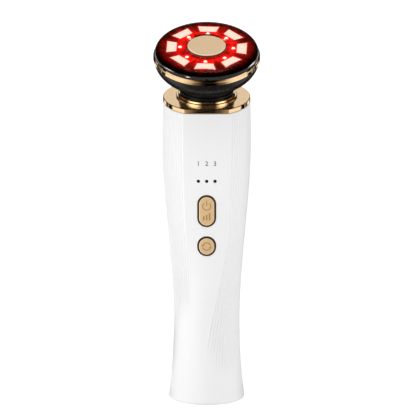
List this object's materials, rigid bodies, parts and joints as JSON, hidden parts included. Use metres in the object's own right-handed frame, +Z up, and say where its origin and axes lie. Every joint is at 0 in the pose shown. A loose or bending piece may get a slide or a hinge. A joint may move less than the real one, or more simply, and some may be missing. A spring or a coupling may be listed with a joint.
{
  "type": "facial massager",
  "caption": "Hand-held facial massager: waisted pleated handle with press buttons and a tilted round head with a lit lens, glowing windows and a centre electrode.",
  "frame": {"origin": "centre of the flat resting face under the base", "axes": "+Z up the handle's axis, -Y out of the front panel with the buttons, +X to the right of someone facing the buttons"},
  "size_m": [0.049, 0.0495, 0.1743],
  "materials": {
    "white_plastic": "satin moulded plastic",
    "gold_metal": "polished champagne gold",
    "gold_plate": "satin gold plating",
    "black_gloss": "gloss black",
    "black_rubber": "smooth silicone",
    "clear_lens": "clear moulded lens",
    "tray_red": "dark red, lit from the lamps",
    "window_glow": "lit frosted window",
    "lamp_red": "lit red lamp",
    "smoke_lens": "dark translucent",
    "board_green": "solder mask",
    "frame_grey": "moulded",
    "steel": "plated",
    "weight_metal": "sintered",
    "black_part": "moulded",
    "cell_wrap": "shrink wrap",
    "lead_cover": "insulated wire",
    "switch_stem": "moulded",
    "lamp_white": "lamp body"
  },
  "bodies": {
    "handle": {"front_shell": "white_plastic", "rear_shell": "white_plastic", "base_cap": "white_plastic", "collar": "gold_metal", "neck_ring": "gold_metal", "trim_ring": "gold_metal", "center_electrode": "gold_metal", "head_bowl": "black_gloss", "neck_damper": "black_rubber", "power_bezel": "black_rubber", "mode_bezel": "black_rubber", "motor_sleeve": "black_rubber", "lens_dome": "clear_lens", "reflector_tray": "tray_red", "light_windows": "window_glow", "lamp_emitters": "lamp_red", "indicator_lights": "smoke_lens", "main_board": "board_green", "lamp_board": "board_green", "inner_frame": "frame_grey", "base_screws": "steel", "board_screws": "steel", "collar_screws": "steel", "head_screws": "steel", "socket_shell": "steel", "vibration_motor": "steel", "neck_nut": "steel", "electrode_nut": "steel", "socket_tongue": "black_part", "controller_chip": "black_part", "boost_coil": "black_part", "power_switch": "black_part", "mode_switch": "black_part", "battery": "cell_wrap", "battery_leads": "lead_cover", "head_lead": "lead_cover", "indicator_lamps": "lamp_white"},
    "power_key": {"power_button": "gold_plate", "power_switch_stem": "switch_stem"},
    "mode_key": {"mode_button": "gold_plate", "mode_switch_stem": "switch_stem"},
    "motor_rotor": {"motor_shaft": "steel", "eccentric_weight": "weight_metal"}
  },
  "joints": [
    {"name": "power_button_press", "type": "slide", "parent": "handle", "child": "power_key", "axis": [0, 0.9979, 0.0647], "range_m": [0, 0.0004], "stiffness_N_per_m": 3000},
    {"name": "mode_button_press", "type": "slide", "parent": "handle", "child": "mode_key", "axis": [0, 0.9996, 0.0281], "range_m": [0, 0.0004], "stiffness_N_per_m": 3000},
    {"name": "motor_spin", "type": "hinge", "parent": "handle", "child": "motor_rotor", "pos_m": [0, 0.00147, 0.13092], "axis": [0, -0.1564, 0.9877], "continuous": true}
  ]
}
